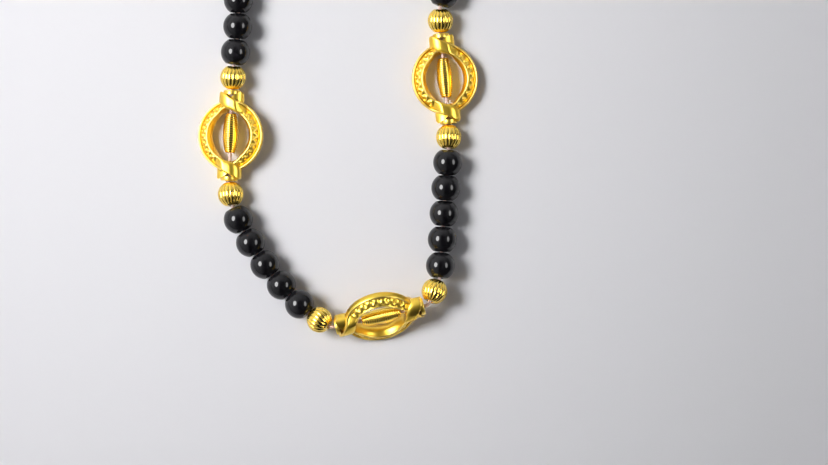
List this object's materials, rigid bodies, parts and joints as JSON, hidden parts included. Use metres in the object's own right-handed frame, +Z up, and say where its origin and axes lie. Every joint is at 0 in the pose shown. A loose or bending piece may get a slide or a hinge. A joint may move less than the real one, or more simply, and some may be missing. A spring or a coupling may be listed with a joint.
{
  "type": "bead chain necklace",
  "caption": "Strung necklace of twisted open gold frames holding ridged spindle beads, with fluted gold beads at their necks and runs of glossy black beads between, laid flat as a closed loop.",
  "frame": {"origin": "middle of the loop's bounding box, on the surface it lies on", "axes": "X to the right and Y up the loop as the picture shows it, with the middle frame at -Y and the clasp at +Y; Z up from the surface"},
  "size_m": [0.0878, 0.198, 0.0107],
  "materials": {
    "gold_plate": "bright yellow gold plate, polished to satin",
    "black_glass": "opaque black glass, glossy",
    "clear_thread": "clear stringing thread with a faint warm tint"
  },
  "bodies": {
    "root": {"twist_frame_1": "gold_plate", "twist_frame_2": "gold_plate", "twist_frame_3": "gold_plate", "twist_frame_4": "gold_plate", "twist_frame_5": "gold_plate", "twist_frame_6": "gold_plate", "twist_frame_7": "gold_plate", "spindle_bead_1": "gold_plate", "spindle_bead_2": "gold_plate", "spindle_bead_3": "gold_plate", "spindle_bead_4": "gold_plate", "spindle_bead_5": "gold_plate", "spindle_bead_6": "gold_plate", "spindle_bead_7": "gold_plate", "fluted_bead_1": "gold_plate", "fluted_bead_2": "gold_plate", "fluted_bead_3": "gold_plate", "fluted_bead_4": "gold_plate", "fluted_bead_5": "gold_plate", "fluted_bead_6": "gold_plate", "fluted_bead_7": "gold_plate", "fluted_bead_8": "gold_plate", "fluted_bead_9": "gold_plate", "fluted_bead_10": "gold_plate", "fluted_bead_11": "gold_plate", "fluted_bead_12": "gold_plate", "fluted_bead_13": "gold_plate", "fluted_bead_14": "gold_plate", "clasp": "gold_plate", "black_beads_1": "black_glass", "black_beads_2": "black_glass", "black_beads_3": "black_glass", "black_beads_4": "black_glass", "black_beads_5": "black_glass", "black_beads_6": "black_glass", "black_beads_7": "black_glass", "black_beads_8": "black_glass", "thread": "clear_thread"}
  },
  "joints": []
}
